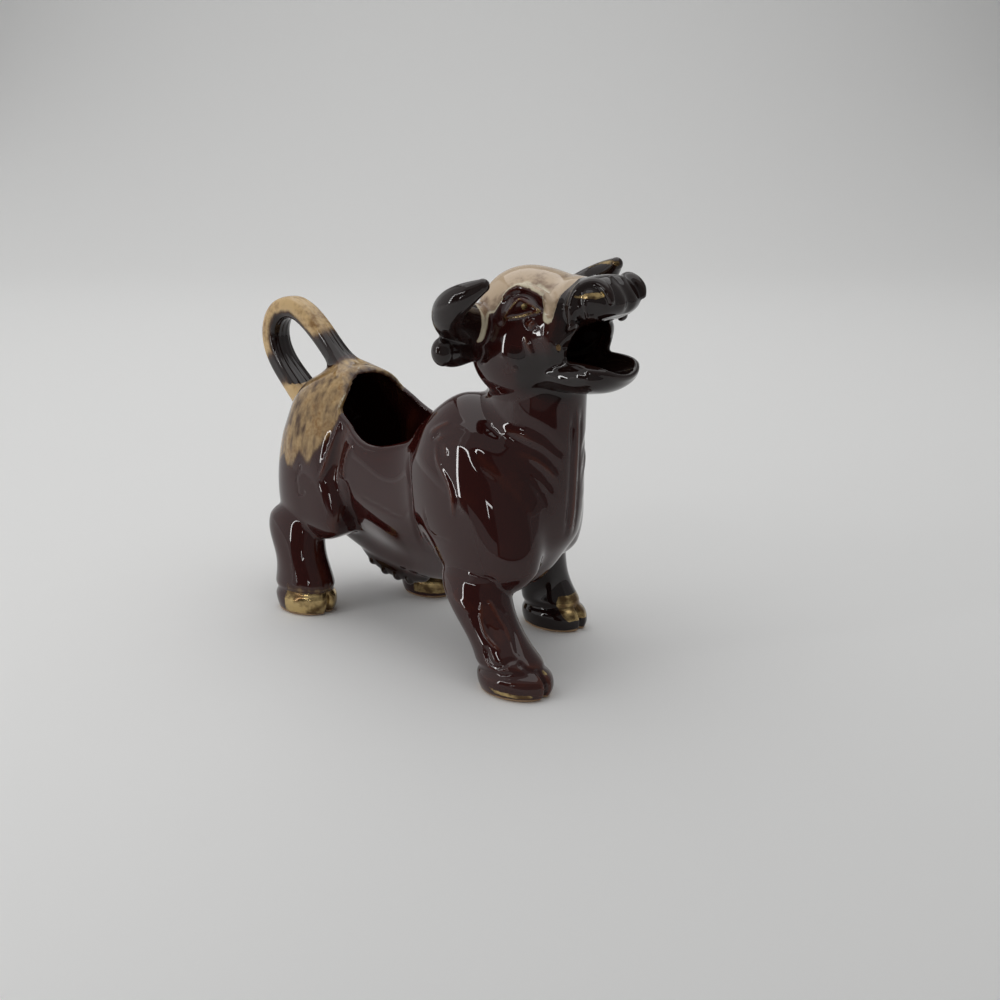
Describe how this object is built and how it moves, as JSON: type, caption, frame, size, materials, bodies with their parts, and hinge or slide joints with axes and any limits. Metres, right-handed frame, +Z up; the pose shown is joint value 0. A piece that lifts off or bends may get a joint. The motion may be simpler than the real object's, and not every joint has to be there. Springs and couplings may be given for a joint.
{
  "type": "creamer",
  "caption": "Hollow glazed jug shaped as a striding bull: filled through its open back, poured from its open mouth, held by its looped tail.",
  "frame": {"origin": "on the surface that the hooves stand on, under the middle of the jug's bounding box", "axes": "+X the way the bull faces, +Y its left side, +Z up"},
  "size_m": [0.1478, 0.0694, 0.1147],
  "materials": {
    "treacle_glaze": "thick glossy red-brown treacle glaze",
    "dark_glaze": "thick glossy dark brown glaze",
    "honey_glaze": "glossy mottled honey glaze run over brown"
  },
  "bodies": {
    "root": {"body_shell": "treacle_glaze", "head_shell": "dark_glaze", "front_right_leg": "treacle_glaze", "front_left_leg": "treacle_glaze", "hind_right_leg": "treacle_glaze", "hind_left_leg": "treacle_glaze", "tail_handle": "honey_glaze", "left_horn": "dark_glaze", "left_ear": "dark_glaze", "right_horn": "dark_glaze", "right_ear": "dark_glaze", "belly_ridge": "dark_glaze"}
  },
  "joints": []
}
